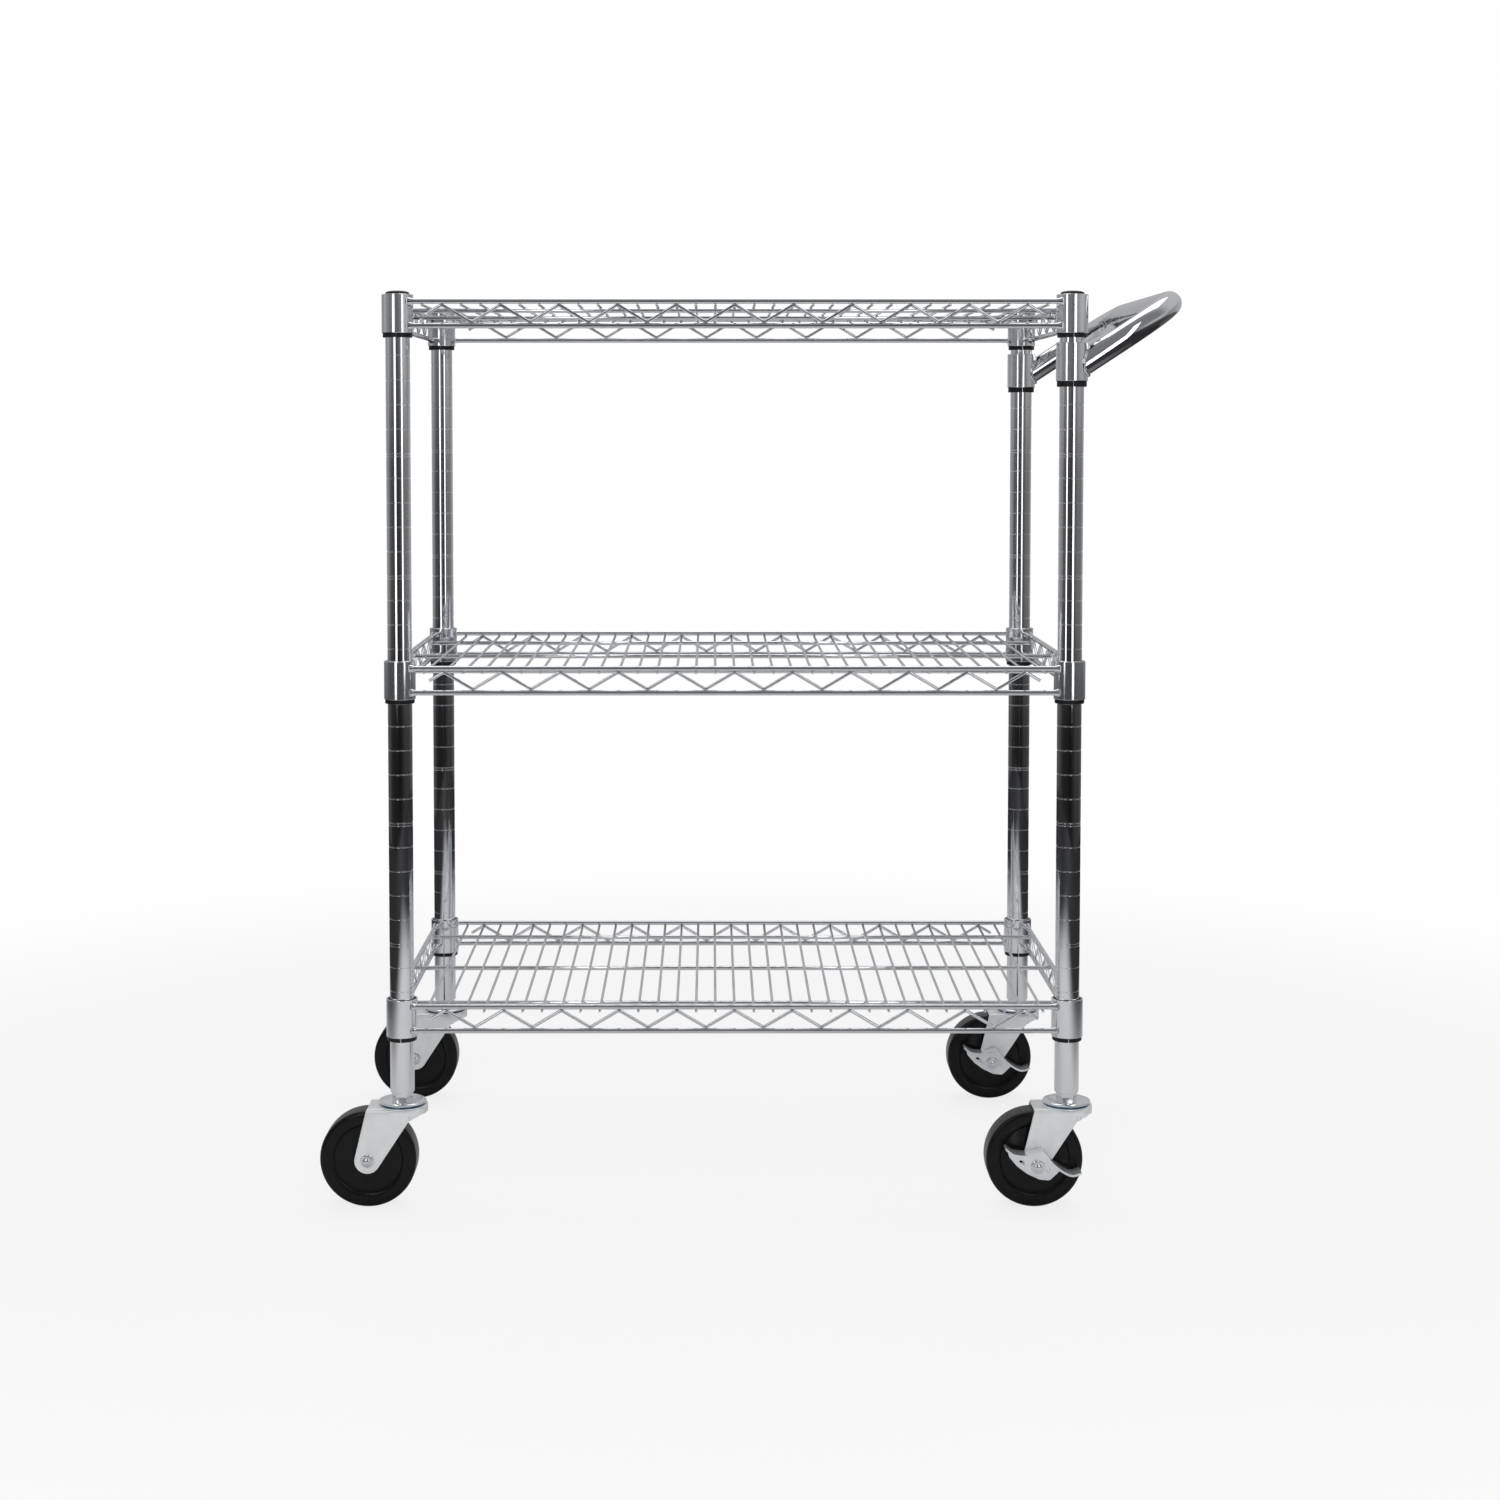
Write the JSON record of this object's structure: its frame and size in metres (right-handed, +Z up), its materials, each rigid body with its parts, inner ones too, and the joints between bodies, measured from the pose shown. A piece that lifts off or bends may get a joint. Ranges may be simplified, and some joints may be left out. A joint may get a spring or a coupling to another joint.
{
  "type": "wire shelf cart",
  "caption": "Open utility cart with flat wire shelves clamped to grooved round posts, a sloping U-shaped push handle at one end, swivel casters and foot brakes.",
  "frame": {"origin": "on the floor, midway between the four post axes", "axes": "+X towards the push handle, +Y away from the side that carries the brake levers, +Z up; at rest the wheels trail towards -X"},
  "size_m": [0.9108, 0.4931, 0.9631],
  "materials": {
    "post_chrome": "polished",
    "tube_chrome": "polished",
    "collar_chrome": "polished",
    "wire_chrome": "bright plated",
    "zinc": "bright zinc plated",
    "plain_steel": "turned",
    "dark_steel": "blued",
    "black_plastic": "moulded",
    "wheel_rubber": "semi-gloss"
  },
  "bodies": {
    "frame": {"post_upper_fl": "post_chrome", "post_upper_fr": "post_chrome", "post_upper_bl": "post_chrome", "post_upper_br": "post_chrome", "post_lower_fl": "post_chrome", "post_lower_fr": "post_chrome", "post_lower_bl": "post_chrome", "post_lower_br": "post_chrome", "post_couplers": "plain_steel", "post_inserts": "zinc", "post_caps": "black_plastic", "sleeves_top": "black_plastic", "sleeves_middle": "black_plastic", "sleeves_bottom": "black_plastic", "sleeves_handle": "black_plastic", "top_collars": "collar_chrome", "top_front": "wire_chrome", "top_back": "wire_chrome", "top_left": "wire_chrome", "top_right": "wire_chrome", "top_deck": "wire_chrome", "middle_collars": "collar_chrome", "middle_front": "wire_chrome", "middle_back": "wire_chrome", "middle_left": "wire_chrome", "middle_right": "wire_chrome", "middle_deck": "wire_chrome", "bottom_collars": "collar_chrome", "bottom_front": "wire_chrome", "bottom_back": "wire_chrome", "bottom_left": "wire_chrome", "bottom_right": "wire_chrome", "bottom_deck": "wire_chrome", "handle_collars": "collar_chrome", "handle_tube": "tube_chrome", "caster_stems": "zinc", "race_plates": "zinc"},
    "swivel_fl": {"fork_fl": "zinc", "bearing_fl": "dark_steel", "axle_fl": "zinc"},
    "roller_fl": {"wheel_fl": "wheel_rubber", "bush_fl": "zinc"},
    "swivel_fr": {"fork_fr": "zinc", "bearing_fr": "dark_steel", "axle_fr": "zinc"},
    "roller_fr": {"wheel_fr": "wheel_rubber", "bush_fr": "zinc"},
    "lever_fr": {"brake_fr": "zinc"},
    "swivel_bl": {"fork_bl": "zinc", "bearing_bl": "dark_steel", "axle_bl": "zinc"},
    "roller_bl": {"wheel_bl": "wheel_rubber", "bush_bl": "zinc"},
    "swivel_br": {"fork_br": "zinc", "bearing_br": "dark_steel", "axle_br": "zinc"},
    "roller_br": {"wheel_br": "wheel_rubber", "bush_br": "zinc"},
    "lever_br": {"brake_br": "zinc"}
  },
  "joints": [
    {"name": "swivel_fl", "type": "hinge", "parent": "frame", "child": "swivel_fl", "pos_m": [-0.35, -0.21, 0.105], "axis": [0, 0, 1], "continuous": true},
    {"name": "roll_fl", "type": "hinge", "parent": "swivel_fl", "child": "roller_fl", "pos_m": [-0.385, -0.21, 0.0508], "axis": [0, 1, 0], "continuous": true},
    {"name": "swivel_fr", "type": "hinge", "parent": "frame", "child": "swivel_fr", "pos_m": [0.35, -0.21, 0.105], "axis": [0, 0, 1], "continuous": true},
    {"name": "roll_fr", "type": "hinge", "parent": "swivel_fr", "child": "roller_fr", "pos_m": [0.315, -0.21, 0.0508], "axis": [0, 1, 0], "continuous": true},
    {"name": "brake_fr", "type": "hinge", "parent": "swivel_fr", "child": "lever_fr", "pos_m": [0.315, -0.25, 0.0508], "axis": [0, 1, 0], "range_deg": [0, 14]},
    {"name": "swivel_bl", "type": "hinge", "parent": "frame", "child": "swivel_bl", "pos_m": [-0.35, 0.21, 0.105], "axis": [0, 0, 1], "continuous": true},
    {"name": "roll_bl", "type": "hinge", "parent": "swivel_bl", "child": "roller_bl", "pos_m": [-0.385, 0.21, 0.0508], "axis": [0, 1, 0], "continuous": true},
    {"name": "swivel_br", "type": "hinge", "parent": "frame", "child": "swivel_br", "pos_m": [0.35, 0.21, 0.105], "axis": [0, 0, 1], "continuous": true},
    {"name": "roll_br", "type": "hinge", "parent": "swivel_br", "child": "roller_br", "pos_m": [0.315, 0.21, 0.0508], "axis": [0, 1, 0], "continuous": true},
    {"name": "brake_br", "type": "hinge", "parent": "swivel_br", "child": "lever_br", "pos_m": [0.315, 0.17, 0.0508], "axis": [0, 1, 0], "range_deg": [0, 14]}
  ]
}
